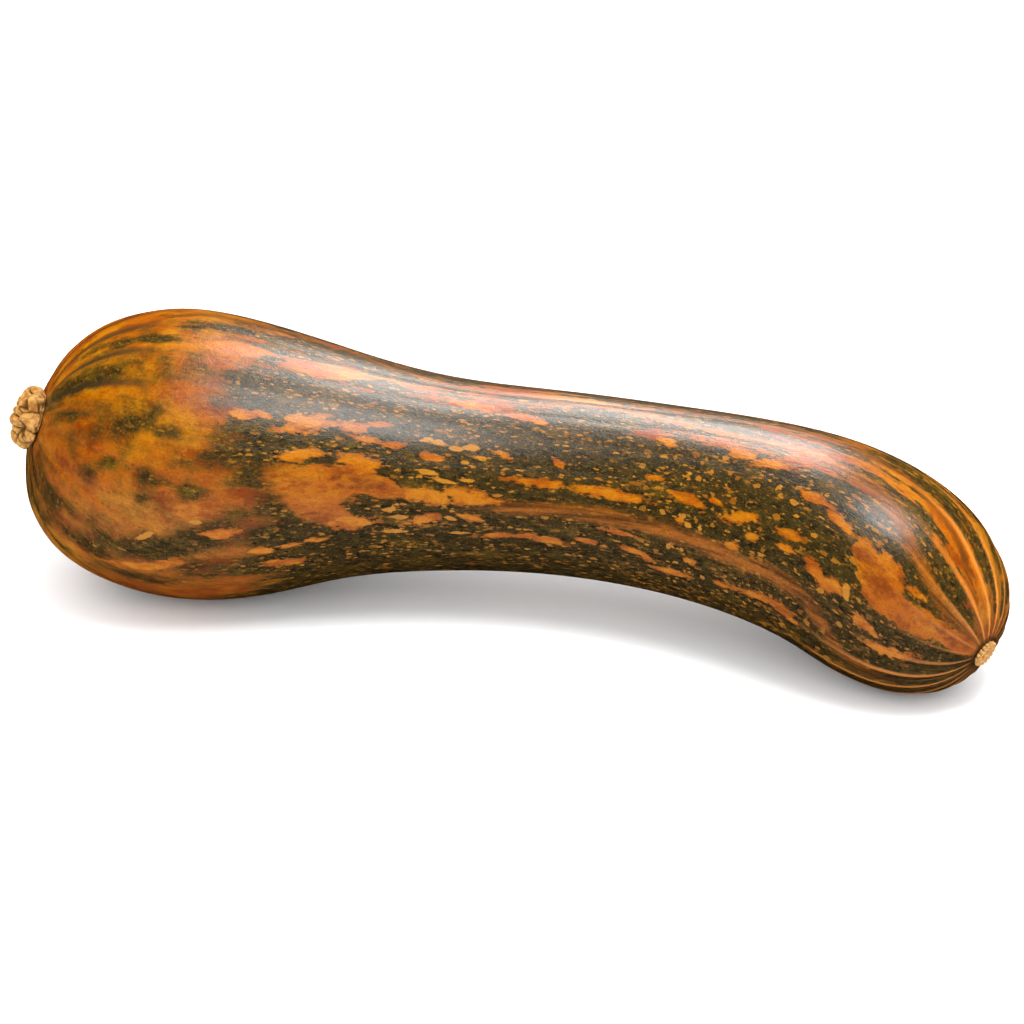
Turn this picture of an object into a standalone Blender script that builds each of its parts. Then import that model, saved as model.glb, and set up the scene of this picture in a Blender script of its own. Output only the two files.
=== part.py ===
"""A long-necked winter squash, ripe and picked, lying on the ground.

The fruit is one curved body: a round bulb, a long neck that bends to one side, and a slightly swollen
far end. A gnarled corky blossom-end scar sits on the bulb, and the scalloped scar that the stalk left
sits on the neck's end. Ribs gather into folds towards both scars and fade along the body.

Frame: metres, +Z up, +X from the bulb to the neck's end. The ground is z = 0, and the origin is under
the middle of the whole squash. Driving dimensions below are millimetres.
"""

import math
import random

import bmesh
import bpy
import numpy as np

MM = 0.001
GAP = 0.3

# Centreline of the fruit from the blossom scar to the stalk scar, (x, y, z).
SPINE = [
    (-270.6, -29.4, 106.5), (-223.2, -10.1, 87.7), (-175.8, 1.9, 80.1), (-114, 12.4, 78.6),
    (-47, 23.4, 75), (23, 31.4, 73.5), (93, 30.4, 72.5), (153, 20.4, 71), (203, 3.9, 64.6),
    (247, -14.6, 47), (279, -32.6, 36),
]
# Points used to measure along it, and how far ahead and behind its direction is taken.
SPINE_POINTS = 801
DIRECTION_REACH = 0.5

# Outline of the fruit along its centreline, (distance, radius). The first and last points are the rims
# of the two flat seats that carry the scars.
BLOSSOM_SEAT_RADIUS = 20
STALK_SEAT_RADIUS = 9
PROFILE = [
    (0, BLOSSOM_SEAT_RADIUS), (8, 44.3), (26, 65.7), (52, 78.4), (88, 84), (135, 79), (187, 66),
    (244, 56.5), (306, 52.8), (373, 53.3), (435, 57.4), (482, 60), (518, 58.4), (547, 49.2),
    (566, 35), (576, 17.5), (578, STALK_SEAT_RADIUS),
]

# Ribs: how many, how deep, how far from a scar they fade, and how far outside a seat's rim they reach
# their full depth.
RIBS = 20
BLOSSOM_FOLD_DEPTH = 3.6
STALK_RIDGE_HEIGHT = 2.6
BODY_RIB_DEPTH = 0.6
FADE = 46
BLOSSOM_RIM_RISE = 9
STALK_RIM_RISE = 7
WEAKEST_RIB = 0.45
RIB_SEED = 4

# The exponent that rounds a fold between its furrows, where 1 is a plain sine and less is fuller, and
# the swell, from 0 to 1, at which a fold and a ridge lie on the plain outline.
FOLD_ROUNDNESS = 0.7
FOLD_LEVEL = 0.7
RIDGE_LEVEL = 0.4

# The folds are deepest this far round from the top, in radians, and shallower below by twice this share.
FOLDS_FACE = 0.4
FOLDS_SHARE = 0.28

# The ribs swing round the body by this many radians in long waves. The skin wavers in and out in two
# waves, each with its own length and turns round the body, and the second starts at the phase below.
RIB_DRIFT = 0.05
DRIFT_LENGTH = 90
WAVER = 0.5
WAVER_LENGTHS = (38, 61)
WAVER_TURNS = (2, -3)
WAVER_PHASE = 1.3

FRUIT_RINGS = 56
FRUIT_SIDES = 100
RING_CROWDING = 0.7

# The blossom scar, as (height above its seat, radius) of the dome that its lobes stand on.
CORK_PROFILE = [(0, 16), (2.5, 16.6), (6, 15), (9, 11.5), (11, 6), (11.5, 1.5)]
# Its lobes, as (height above its seat, distance from its axis, degrees from its top, size).
CORK_LOBES = [
    (7, 13, 22, 9), (11, 8, 45, 7), (6, 15, 75, 8), (11, 6, 100, 7), (5, 15, 104, 6), (4, 14, 132, 7),
    (8, 12, 155, 8), (6, 14, 200, 9), (9, 9, 235, 8), (5, 15, 262, 8), (7, 14, 310, 9), (12, 3, 320, 7),
]
CORK_LOBE_HEIGHT = 4.5
CORK_RIM_LIFT = 0.35
# How far a lobe reaches, in its own sizes, the height over which the lobes come free of the seat, and
# how far the middle of the crown rises above the last ring.
CORK_LOBE_REACH = 1.1
CORK_FREE_HEIGHT = 2
CORK_CROWN_RISE = 0.3
CORK_SIDES = 60
CORK_RINGS = 20

# The stalk scar, as (height above its seat, radius).
STALK_PROFILE = [(0, 6.6), (0.8, 7.5), (1.7, 7.4), (2.4, 6.3), (1.9, 4.3), (1.2, 2.1)]
STALK_SCALLOPS = 17
STALK_SCALLOP_DEPTH = 0.16
STALK_SCALLOP_ROUNDNESS = 0.7
STALK_SCALLOP_LEVEL = 0.6
STALK_SIDES = 102

# The three surfaces, as (linear colour, roughness).
SURFACES = {
    "skin": ((0.17, 0.1, 0.02), 0.42),
    "cork": ((0.6, 0.4, 0.18), 0.7),
    "dry_stalk": ((0.55, 0.33, 0.12), 0.75),
}


def natural_spline(knots, values, at):
    """Values of the natural cubic spline through (knots, values) at the places asked for."""
    knots = np.asarray(knots, float)
    values = np.asarray(values, float)
    count = len(knots)
    step = np.diff(knots)
    matrix = np.eye(count)
    right = np.zeros_like(values)
    for i in range(1, count - 1):
        matrix[i, i - 1 : i + 2] = step[i - 1], 2 * (step[i - 1] + step[i]), step[i]
        right[i] = 6 * ((values[i + 1] - values[i]) / step[i] - (values[i] - values[i - 1]) / step[i - 1])
    bend = np.linalg.solve(matrix, right)
    i = np.clip(np.searchsorted(knots, at, side="right") - 1, 0, count - 2)
    t = (at - knots[i])[:, None]
    h = step[i][:, None]
    slope = (values[i + 1] - values[i]) / h - h * (2 * bend[i] + bend[i + 1]) / 6
    return values[i] + t * slope + t**2 * bend[i] / 2 + t**3 * (bend[i + 1] - bend[i]) / (6 * h)


def chord_lengths(points):
    """Distance along the straight chords from the first point to each point."""
    steps = np.linalg.norm(np.diff(np.asarray(points, float), axis=0), axis=1)
    return np.concatenate([[0], np.cumsum(steps)])


def frames_along(distance):
    """Centre, direction, upward and sideways unit vectors of the centreline, at these fractions of it."""
    knots = chord_lengths(SPINE)
    fine = np.linspace(0, knots[-1], SPINE_POINTS)
    length = chord_lengths(natural_spline(knots, SPINE, fine))
    u = np.interp(distance * length[-1], length, fine)
    centre = natural_spline(knots, SPINE, u)
    ahead = natural_spline(knots, SPINE, np.clip(u + DIRECTION_REACH, 0, knots[-1]))
    behind = natural_spline(knots, SPINE, np.clip(u - DIRECTION_REACH, 0, knots[-1]))
    along = ahead - behind
    along /= np.linalg.norm(along, axis=1)[:, None]
    side = np.cross(along, [0, 0, 1])
    side /= np.linalg.norm(side, axis=1)[:, None]
    return centre, along, np.cross(side, along), side


def rib_strength(lane):
    """Strength of the ribs round the body: a seeded one for each, eased from one rib to the next."""
    rng = random.Random(RIB_SEED)
    strength = np.array([WEAKEST_RIB + (1 - WEAKEST_RIB) * rng.random() for _ in range(RIBS)])
    place = lane * RIBS / (2 * math.pi)
    rib = np.floor(place).astype(int)
    share = place - rib
    share = share**2 * (3 - 2 * share)
    return strength[rib % RIBS] * (1 - share) + strength[(rib + 1) % RIBS] * share


def rib_relief(distance, radius, lane):
    """How far the ribs lift the skin off its plain outline.

    Near the blossom scar they are round lobes with narrow furrows, deepest on the upper side. Near the
    stalk scar they are narrow ridges with broad hollows. Each rib has its own seeded strength, which
    blends into its neighbour's, and both forms start from nothing at the scars' round seats.
    """
    end = PROFILE[-1][0]
    swell = np.abs(np.sin(lane * RIBS / 2))
    blossom = np.exp(-distance / FADE)
    blossom = blossom * (1 - np.exp(-(radius - BLOSSOM_SEAT_RADIUS).clip(0) / BLOSSOM_RIM_RISE))
    stalk = np.exp(-(end - distance) / FADE)
    stalk = stalk * (1 - np.exp(-(radius - STALK_SEAT_RADIUS).clip(0) / STALK_RIM_RISE))
    upper = 1 - FOLDS_SHARE * (1 - np.cos(lane - FOLDS_FACE))
    folds = BLOSSOM_FOLD_DEPTH * blossom * upper + BODY_RIB_DEPTH * np.sin(math.pi * distance / end)
    ridges = STALK_RIDGE_HEIGHT * stalk
    lifted = folds * (swell**FOLD_ROUNDNESS - FOLD_LEVEL) + ridges * (RIDGE_LEVEL - swell)
    return rib_strength(lane) * lifted


def waver(distance, angle):
    """The slow unevenness of a grown surface, in millimetres, still at both scars."""
    rise = np.sin(math.pi * distance / PROFILE[-1][0]).clip(0) ** 0.5
    short = distance / WAVER_LENGTHS[0] + WAVER_TURNS[0] * angle
    long = distance / WAVER_LENGTHS[1] + WAVER_TURNS[1] * angle + WAVER_PHASE
    return WAVER * rise * (np.sin(short) + np.sin(long))


def ease_ends(count):
    """Numbers from 0 to 1, set closer together near both ends."""
    x = np.linspace(0, 1, count)
    return x - RING_CROWDING * np.sin(2 * math.pi * x) / (2 * math.pi)


def skin_over(name, rings, first, last):
    """A closed mesh of stacked rings of points, with a fan at each end to the point given there."""
    count, sides, _ = rings.shape
    points = np.vstack([rings.reshape(-1, 3), first, last])
    faces = []
    for j in range(sides):
        k = (j + 1) % sides
        faces.append((j, k, count * sides))
        for i in range(count - 1):
            a, b = i * sides + j, i * sides + k
            faces.append((a, a + sides, b + sides, b))
        faces.append(((count - 1) * sides + k, (count - 1) * sides + j, count * sides + 1))
    mesh = bpy.data.meshes.new(name)
    mesh.from_pydata((points * MM).tolist(), [], faces)
    shell = bmesh.new()
    shell.from_mesh(mesh)
    bmesh.ops.recalc_face_normals(shell, faces=shell.faces)
    shell.to_mesh(mesh)
    shell.free()
    mesh.shade_smooth()
    return mesh


def plain(name):
    """A plain non-metal surface."""
    colour, roughness = SURFACES[name]
    made = bpy.data.materials.new(name)
    made.use_nodes = True
    surface = made.node_tree.nodes["Principled BSDF"]
    surface.inputs["Base Color"].default_value = (*colour, 1)
    surface.inputs["Roughness"].default_value = roughness
    surface.inputs["Metallic"].default_value = 0
    return made


def place(name, mesh, surface):
    """Adds the piece to the scene."""
    mesh.materials.append(surface)
    piece = bpy.data.objects.new(name, mesh)
    bpy.context.scene.collection.objects.link(piece)


def fruit():
    """The body: ribbed rings square to the centreline, flattened where they press on the ground."""
    knots = chord_lengths(PROFILE)
    outline = natural_spline(knots, PROFILE, ease_ends(FRUIT_RINGS) * knots[-1])
    distance = outline[:, 0].clip(0, PROFILE[-1][0])
    radius = outline[:, 1]
    centre, _, top, side = frames_along(distance / PROFILE[-1][0])
    lane = np.linspace(0, 2 * math.pi, FRUIT_SIDES, endpoint=False)[None, :]
    angle = lane + RIB_DRIFT * np.sin(distance[:, None] / DRIFT_LENGTH)
    reach = radius[:, None] + rib_relief(distance[:, None], radius[:, None], lane)
    reach = reach + waver(distance[:, None], angle)
    around = np.cos(angle)[..., None] * top[:, None] + np.sin(angle)[..., None] * side[:, None]
    rings = centre[:, None] + reach[..., None] * around
    rings[..., 2] = rings[..., 2].clip(0)
    return skin_over("fruit", rings, centre[0], centre[-1])


def standing(seat, outward, top, side, height, across, angle):
    """Points on a seat: height along the outward direction, and a distance across it at an angle."""
    spoke = np.cos(angle)[..., None] * top + np.sin(angle)[..., None] * side
    return seat + (GAP + height)[..., None] * outward + across[..., None] * spoke


def blossom_scar():
    """The corky knob: a low dome raised into round lobes, with creases where two lobes meet."""
    centre, along, top, side = frames_along(np.array([0.0]))
    seat = (centre[0], -along[0], top[0], side[0])
    knots = chord_lengths(CORK_PROFILE)
    rows = natural_spline(knots, CORK_PROFILE, np.linspace(0, knots[-1], CORK_RINGS))
    angle = np.linspace(0, 2 * math.pi, CORK_SIDES, endpoint=False)[None, :]
    flat = 0 * angle
    dome = standing(*seat, rows[:, :1] + flat, rows[:, 1:] + flat, angle + 0 * rows[:, :1])
    lobes = np.array(CORK_LOBES, float)
    peaks = standing(*seat, lobes[:, 0], lobes[:, 1], np.radians(lobes[:, 2]))
    away = np.linalg.norm(dome[:, :, None] - peaks, axis=3) / lobes[:, 3]
    lift = CORK_LOBE_HEIGHT * (1 - away.min(axis=2).clip(0, CORK_LOBE_REACH) ** 2)
    slope = np.gradient(rows, axis=0)
    slope = slope / np.linalg.norm(slope, axis=1)[:, None]
    free = (rows[:, :1] / CORK_FREE_HEIGHT).clip(0, 1)
    height = rows[:, :1] - slope[:, 1:] * lift * free
    across = rows[:, 1:] + slope[:, :1] * lift * (CORK_RIM_LIFT + (1 - CORK_RIM_LIFT) * free)
    rings = standing(*seat, height, across, angle + 0 * height)
    under = centre[0] - GAP * along[0]
    crown = rings[-1].mean(axis=0) - CORK_CROWN_RISE * along[0]
    return skin_over("blossom_scar", rings, under, crown)


def stalk_scar():
    """The stalk's scar: a low disc with a scalloped rim, dished in the middle."""
    centre, along, top, side = frames_along(np.array([1.0]))
    profile = np.array(STALK_PROFILE, float)
    angle = np.linspace(0, 2 * math.pi, STALK_SIDES, endpoint=False)[None, :]
    scallop = np.abs(np.sin(STALK_SCALLOPS * angle / 2)) ** STALK_SCALLOP_ROUNDNESS - STALK_SCALLOP_LEVEL
    rim = (profile[:, 1:] / STALK_SEAT_RADIUS) ** 2
    across = profile[:, 1:] * (1 + STALK_SCALLOP_DEPTH * rim * scallop)
    height = profile[:, :1] + 0 * angle
    rings = standing(centre[0], along[0], top[0], side[0], height, across, angle + 0 * height)
    under = centre[0] + GAP * along[0]
    crown = centre[0] + (GAP + STALK_PROFILE[-1][0]) * along[0]
    return skin_over("stalk_scar", rings, under, crown)


def main():
    for thing in list(bpy.data.objects):
        bpy.data.objects.remove(thing)
    place("fruit", fruit(), plain("skin"))
    place("blossom_scar", blossom_scar(), plain("cork"))
    place("stalk_scar", stalk_scar(), plain("dry_stalk"))


main()
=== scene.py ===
# %% [markdown]
# A long-necked winter squash: a heavy bulb, a long bent neck, and two dry scars. The solids come from the
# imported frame. Everything that is seen is rebuilt here as fine surfaces over them, with materials worked
# out from coordinates that follow the skin.

import math
import random

import bpy
import numpy as np
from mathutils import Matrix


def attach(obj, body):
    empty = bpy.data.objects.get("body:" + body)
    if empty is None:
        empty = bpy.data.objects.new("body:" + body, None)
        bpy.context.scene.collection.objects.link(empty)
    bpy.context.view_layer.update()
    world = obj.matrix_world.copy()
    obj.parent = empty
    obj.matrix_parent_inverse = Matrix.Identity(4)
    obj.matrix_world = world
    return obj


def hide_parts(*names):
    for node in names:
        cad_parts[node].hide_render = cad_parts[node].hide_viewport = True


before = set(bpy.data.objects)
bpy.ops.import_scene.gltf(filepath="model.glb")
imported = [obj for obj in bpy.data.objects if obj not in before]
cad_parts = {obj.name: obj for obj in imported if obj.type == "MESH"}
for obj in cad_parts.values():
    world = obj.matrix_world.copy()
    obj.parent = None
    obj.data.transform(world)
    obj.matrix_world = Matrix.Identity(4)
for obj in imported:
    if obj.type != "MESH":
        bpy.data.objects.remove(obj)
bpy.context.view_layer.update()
MM = 0.001
print("nodes:", sorted(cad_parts))

# %% [markdown]
# The body's shape. A squash grows along a bent line, so it is drawn the same way: a centreline through a
# few points, and a radius that changes along it. A lofted surface or a sculpted ball would do as well,
# but a formula keeps every rib and every marking tied to the place on the skin where it grew.

# %% The body's driving dimensions, in millimetres
# The centreline from the blossom scar to the stalk scar, as (x, y, z).
SPINE = [
    (-270.6, -29.4, 106.5), (-223.2, -10.1, 87.7), (-175.8, 1.9, 80.1), (-114, 12.4, 78.6),
    (-47, 23.4, 75), (23, 31.4, 73.5), (93, 30.4, 72.5), (153, 20.4, 71), (203, 3.9, 64.6),
    (247, -14.6, 47), (279, -32.6, 36),
]
# Points that measure along it, and how far ahead and behind its direction is taken.
SPINE_POINTS = 801
DIRECTION_REACH = 0.5
# The outline along it, as (distance, radius), between the rims of the scars' seats.
BLOSSOM_SEAT_RADIUS = 20
STALK_SEAT_RADIUS = 9
PROFILE = [
    (0, BLOSSOM_SEAT_RADIUS), (8, 44.3), (26, 65.7), (52, 78.4), (88, 84), (135, 79), (187, 66),
    (244, 56.5), (306, 52.8), (373, 53.3), (435, 57.4), (482, 60), (518, 58.4), (547, 49.2),
    (566, 35), (576, 17.5), (578, STALK_SEAT_RADIUS),
]
LENGTH = PROFILE[-1][0]
# Rings, how far they crowd towards both ends, and points round each.
RINGS = 408
RING_CROWDING = 0.7
SIDES = 240


# %% Curves through a few points
def natural_spline(knots, values, at):
    """Natural cubic spline: each stretch is a cubic whose slope and bend match its neighbour's."""
    knots, values = np.asarray(knots, float), np.asarray(values, float)
    step = np.diff(knots)
    matrix = np.eye(len(knots))
    right = np.zeros_like(values)
    for i in range(1, len(knots) - 1):
        matrix[i, i - 1 : i + 2] = step[i - 1], 2 * (step[i - 1] + step[i]), step[i]
        right[i] = 6 * ((values[i + 1] - values[i]) / step[i] - (values[i] - values[i - 1]) / step[i - 1])
    bend = np.linalg.solve(matrix, right)
    i = np.clip(np.searchsorted(knots, at, side="right") - 1, 0, len(knots) - 2)
    t, h = (at - knots[i])[:, None], step[i][:, None]
    slope = (values[i + 1] - values[i]) / h - h * (2 * bend[i] + bend[i + 1]) / 6
    return values[i] + t * slope + t**2 * bend[i] / 2 + t**3 * (bend[i + 1] - bend[i]) / (6 * h)


def chord_lengths(points):
    """Running sum of the straight distances from point to point."""
    steps = np.linalg.norm(np.diff(np.asarray(points, float), axis=0), axis=1)
    return np.concatenate([[0], np.cumsum(steps)])


def frames_along(fraction):
    """Centre, direction, upward and sideways vectors at fractions of the centreline's length."""
    knots = chord_lengths(SPINE)
    fine = np.linspace(0, knots[-1], SPINE_POINTS)
    length = chord_lengths(natural_spline(knots, SPINE, fine))
    u = np.interp(fraction * length[-1], length, fine)
    centre = natural_spline(knots, SPINE, u)
    ahead = natural_spline(knots, SPINE, np.clip(u + DIRECTION_REACH, 0, knots[-1]))
    along = ahead - natural_spline(knots, SPINE, np.clip(u - DIRECTION_REACH, 0, knots[-1]))
    along /= np.linalg.norm(along, axis=1)[:, None]
    side = np.cross(along, [0, 0, 1])
    side /= np.linalg.norm(side, axis=1)[:, None]
    return centre, along, np.cross(side, along), side


def smooth(low, high, x):
    """With t as x's share of the way from low to high, kept from 0 to 1: t ^ 2 x (3 - 2 t)."""
    t = ((x - low) / (high - low)).clip(0, 1)
    return t * t * (3 - 2 * t)


# %% [markdown]
# Ribs. Towards the blossom scar the skin gathers into round folds with narrow furrows. Towards the stalk
# scar it has narrow ridges with broad hollows. Both fade along the body. A sine of the angle, sharpened
# by a power, gives both forms, and the same seeded strengths as in the solids keep each rib in its place.

# %% The ribs' dimensions, in millimetres and radians
RIBS = 20
BLOSSOM_FOLD_DEPTH = 3.6
STALK_RIDGE_HEIGHT = 2.6
BODY_RIB_DEPTH = 0.6
# How far from a scar they fade, and how far outside its rim they rise.
FADE = 46
BLOSSOM_RIM_RISE = 9
STALK_RIM_RISE = 7
# Each rib has a strength from this to 1.
WEAKEST_RIB = 0.45
RIB_SEED = 4
# The power that rounds a fold, and the heights at which folds and ridges lie on the plain outline.
FOLD_ROUNDNESS = 0.7
FOLD_LEVEL = 0.7
RIDGE_LEVEL = 0.4
# The folds are deepest this far round from the top, and shallower below by twice this share.
FOLDS_FACE = 0.4
FOLDS_SHARE = 0.28
# The ribs swing round the body by this angle in long waves.
RIB_DRIFT = 0.05
DRIFT_LENGTH = 90
# Two slow waves in the skin: how high, how long, their turns round the body, and where the second starts.
WAVER = 0.5
WAVER_LENGTHS = (38, 61)
WAVER_TURNS = (2, -3)
WAVER_PHASE = 1.3

rib_draw = random.Random(RIB_SEED)
RIB_STRENGTH = np.array([WEAKEST_RIB + (1 - WEAKEST_RIB) * rib_draw.random() for _ in range(RIBS)])


# %% Rib relief
def blossom_share(distance, radius):
    """exp(-distance / fade) x (1 - exp(-(radius - seat) / rise)): nothing at the seat, full by its rim."""
    rise = 1 - np.exp(-(radius - BLOSSOM_SEAT_RADIUS).clip(0) / BLOSSOM_RIM_RISE)
    return np.exp(-distance / FADE) * rise


def stalk_share(distance, radius):
    """The same from the stalk scar's end."""
    rise = 1 - np.exp(-(radius - STALK_SEAT_RADIUS).clip(0) / STALK_RIM_RISE)
    return np.exp(-(LENGTH - distance) / FADE) * rise


def rib_strength(lane):
    """A seeded strength for each rib, eased from one rib to the next."""
    place = lane * RIBS / (2 * math.pi)
    rib = np.floor(place).astype(int)
    share = smooth(0, 1, place - rib)
    return RIB_STRENGTH[rib % RIBS] * (1 - share) + RIB_STRENGTH[(rib + 1) % RIBS] * share


def rib_relief(distance, radius, lane):
    """Strength x (folds x (|sin| ^ roundness - fold level) + ridges x (ridge level - |sin|))."""
    swell = np.abs(np.sin(lane * RIBS / 2))
    facing = 1 - FOLDS_SHARE * (1 - np.cos(lane - FOLDS_FACE))
    folds = BLOSSOM_FOLD_DEPTH * blossom_share(distance, radius) * facing
    folds = folds + BODY_RIB_DEPTH * np.sin(math.pi * distance / LENGTH)
    ridges = STALK_RIDGE_HEIGHT * stalk_share(distance, radius)
    lifted = folds * (swell**FOLD_ROUNDNESS - FOLD_LEVEL) + ridges * (RIDGE_LEVEL - swell)
    return rib_strength(lane) * lifted


def waver(distance, angle):
    """Waver x sqrt(sin(pi x distance / length)) x the sum of two sines, still at both scars."""
    rise = np.sin(math.pi * distance / LENGTH).clip(0) ** 0.5
    short = distance / WAVER_LENGTHS[0] + WAVER_TURNS[0] * angle
    long = distance / WAVER_LENGTHS[1] + WAVER_TURNS[1] * angle + WAVER_PHASE
    return WAVER * rise * (np.sin(short) + np.sin(long))


# %% The body as one grid of points
def body_grid(rings, sides):
    """Centre + (radius + relief) x (cos angle x up + sin angle x sideways), clamped at the ground.

    Along the body, the rings stand at x - crowding x sin(2 pi x) / (2 pi) of the outline's own length.
    """
    knots = chord_lengths(PROFILE)
    x = np.linspace(0, 1, rings)
    x = x - RING_CROWDING * np.sin(2 * math.pi * x) / (2 * math.pi)
    outline = natural_spline(knots, PROFILE, x * knots[-1])
    distance, radius = outline[:, :1].clip(0, LENGTH), outline[:, 1:]
    centre, _, top, side = frames_along(distance[:, 0] / LENGTH)
    lane = np.linspace(0, 2 * math.pi, sides, endpoint=False)[None, :]
    angle = lane + RIB_DRIFT * np.sin(distance / DRIFT_LENGTH)
    reach = radius + rib_relief(distance, radius, lane) + waver(distance, angle)
    around = np.cos(angle)[..., None] * top[:, None] + np.sin(angle)[..., None] * side[:, None]
    points = centre[:, None] + reach[..., None] * around
    points[..., 2] = points[..., 2].clip(0)
    return points, centre, np.broadcast_arrays(distance, radius, angle, lane)


points, centre, grown = body_grid(RINGS, SIDES)
distance, radius, angle, lane = grown
print("body grid", points.shape, "lowest", round(points[..., 2].min(), 3))


# %% A closed mesh from rings of points
def skin_over(name, rings, first, last):
    """Quads between neighbouring rings, and a fan of triangles from each end ring to its middle."""
    count, sides, _ = rings.shape
    i, j = np.meshgrid(np.arange(count - 1) * sides, np.arange(sides), indexing="ij")
    k = (j + 1) % sides
    quads = np.stack([i + j, i + k, i + sides + k, i + sides + j], -1).reshape(-1, 4)
    j = np.arange(sides)
    k = (j + 1) % sides
    end_ring = (count - 1) * sides
    start = np.stack([k, j, np.full(sides, count * sides)], -1)
    end = np.stack([end_ring + j, end_ring + k, np.full(sides, count * sides + 1)], -1)
    places = np.vstack([rings.reshape(-1, 3), first, last]) * MM
    a, b, c = (places[quads[:, corner]] for corner in range(3))
    if np.einsum("ij,ij->i", a, np.cross(b, c)).sum() < 0:
        quads, start, end = quads[:, ::-1], start[:, ::-1], end[:, ::-1]
    mesh = bpy.data.meshes.new(name)
    mesh.from_pydata(places, [], quads.tolist() + start.tolist() + end.tolist())
    mesh.shade_smooth()
    mesh.update()
    piece = bpy.data.objects.new(name, mesh)
    bpy.context.scene.collection.objects.link(piece)
    print(name, len(mesh.vertices), "points", len(quads) * 2 + len(start) * 2, "triangles")
    return piece


def write_attribute(piece, name, values, kind="FLOAT"):
    """A value or vector for each point. Each end point takes the mean of its ring."""
    values = np.asarray(values, float)
    wide = values.shape[2] if values.ndim == 3 else 1
    ends = [values[row].reshape(-1, wide).mean(0) for row in (0, -1)]
    rows = np.vstack([values.reshape(-1, wide), *ends])
    field = piece.data.attributes.new(name, kind, "POINT")
    field.data.foreach_set("value" if kind == "FLOAT" else "vector", rows.ravel())


squash = skin_over("squash_skin", points, centre[0], centre[-1])

# %% [markdown]
# The camera. It stands where the picture was taken: a little above, turned slightly towards the neck's
# end, far off with a long lens. It is made early, because the larger markings are placed by where they
# are seen in its 1024 pixel frame.

# %% Camera, in millimetres, with the far end of its view in metres
FRAME_PIXELS = 1024
LENS = 100
SENSOR = 36
CAMERA_HEIGHT = math.radians(28)
CAMERA_TURN = math.radians(14.8)
CAMERA_TARGET = np.array([5.5, -2.1, 69.6])
CAMERA_DISTANCE = 1621
CAMERA_FAR_END = 30
BACK = np.array([
    math.sin(CAMERA_TURN) * math.cos(CAMERA_HEIGHT),
    -math.cos(CAMERA_TURN) * math.cos(CAMERA_HEIGHT),
    math.sin(CAMERA_HEIGHT),
])
RIGHT = np.array([math.cos(CAMERA_TURN), math.sin(CAMERA_TURN), 0])
UP = np.cross(BACK, RIGHT)

camera = bpy.data.objects.new("camera", bpy.data.cameras.new("camera"))
bpy.context.scene.collection.objects.link(camera)
camera.data.lens = LENS
camera.data.sensor_width = SENSOR
camera.data.clip_end = CAMERA_FAR_END
camera.location = (CAMERA_TARGET + CAMERA_DISTANCE * BACK) * MM
camera.rotation_euler = (math.pi / 2 - CAMERA_HEIGHT, 0, CAMERA_TURN)
bpy.context.scene.camera = camera


def seen_from_camera(points):
    """Pixel column and row: half the frame +- pixels x lens / sensor x sideways or upward / depth."""
    offset = points - CAMERA_TARGET
    depth = CAMERA_DISTANCE - offset @ BACK
    zoom = FRAME_PIXELS * LENS / SENSOR / depth
    return FRAME_PIXELS / 2 + zoom * (offset @ RIGHT), FRAME_PIXELS / 2 - zoom * (offset @ UP)


column, row = seen_from_camera(points)
print("seen in columns", round(column.min()), "to", round(column.max()))

# %% [markdown]
# Markings. The skin is dark olive green with orange showing through: clouds on the bulb, ragged streaks
# and flecks on the neck. Painting an image would do it, but it would be fixed in size. Instead each large
# marking is a short stroke that lies on the skin, and the material breaks its edge up. The strokes on
# the seen side are placed by pixel, and the far side gets seeded ones of the same kinds.

# %% Strokes on the skin
# Millimetres that one pixel of the frame shows at the squash.
PIXEL = 0.57
# Pixels added to a point that faces away, so that it is never the nearest one.
HIDDEN = 1e4
faces_camera = (points - centre[:, None]) @ BACK > 0


def turn_between(start, end):
    """The shortest turn from one angle to another, from minus half a turn to half a turn."""
    return (end - start + math.pi) % (2 * math.pi) - math.pi


def on_skin(x, y):
    """Distance along the body and angle round it of the skin seen at this pixel."""
    miss = np.hypot(column - x, row - y) + HIDDEN * ~faces_camera
    near = np.unravel_index(miss.argmin(), miss.shape)
    return distance[near], angle[near]


def stroke_field(strokes, longer=1.0):
    """Highest, over the strokes, of 1 - sqrt((along / half length) ^ 2 + (across / half width) ^ 2).

    Each stroke is (distance, angle, distance, angle, half width in millimetres), so its field is a pointed
    mound over an ellipse: 1 in the middle, 0 on its rim and below 0 outside. Round the body the distance
    is an angle times the local radius.
    """
    field = np.full(distance.shape, -1.0)
    for d1, a1, d2, a2, half in strokes:
        local = np.interp((d1 + d2) / 2, *zip(*PROFILE))
        run = np.array([d2 - d1, turn_between(a1, a2) * local])
        length = np.linalg.norm(run)
        ahead = run / length if length > 0 else np.array([1.0, 0.0])
        along = distance - (d1 + d2) / 2
        across = turn_between(a1 + run[1] / local / 2, angle) * radius
        forward = along * ahead[0] + across * ahead[1]
        aside = across * ahead[0] - along * ahead[1]
        field = np.maximum(field, 1 - np.hypot(forward / (length / 2 * longer + half), aside / half))
    return field


def seen_strokes(rows):
    """Strokes from rows of (column, row, column, row, half width), all in pixels."""
    return [(*on_skin(x1, y1), *on_skin(x2, y2), half * PIXEL) for x1, y1, x2, y2, half in rows]


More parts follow.
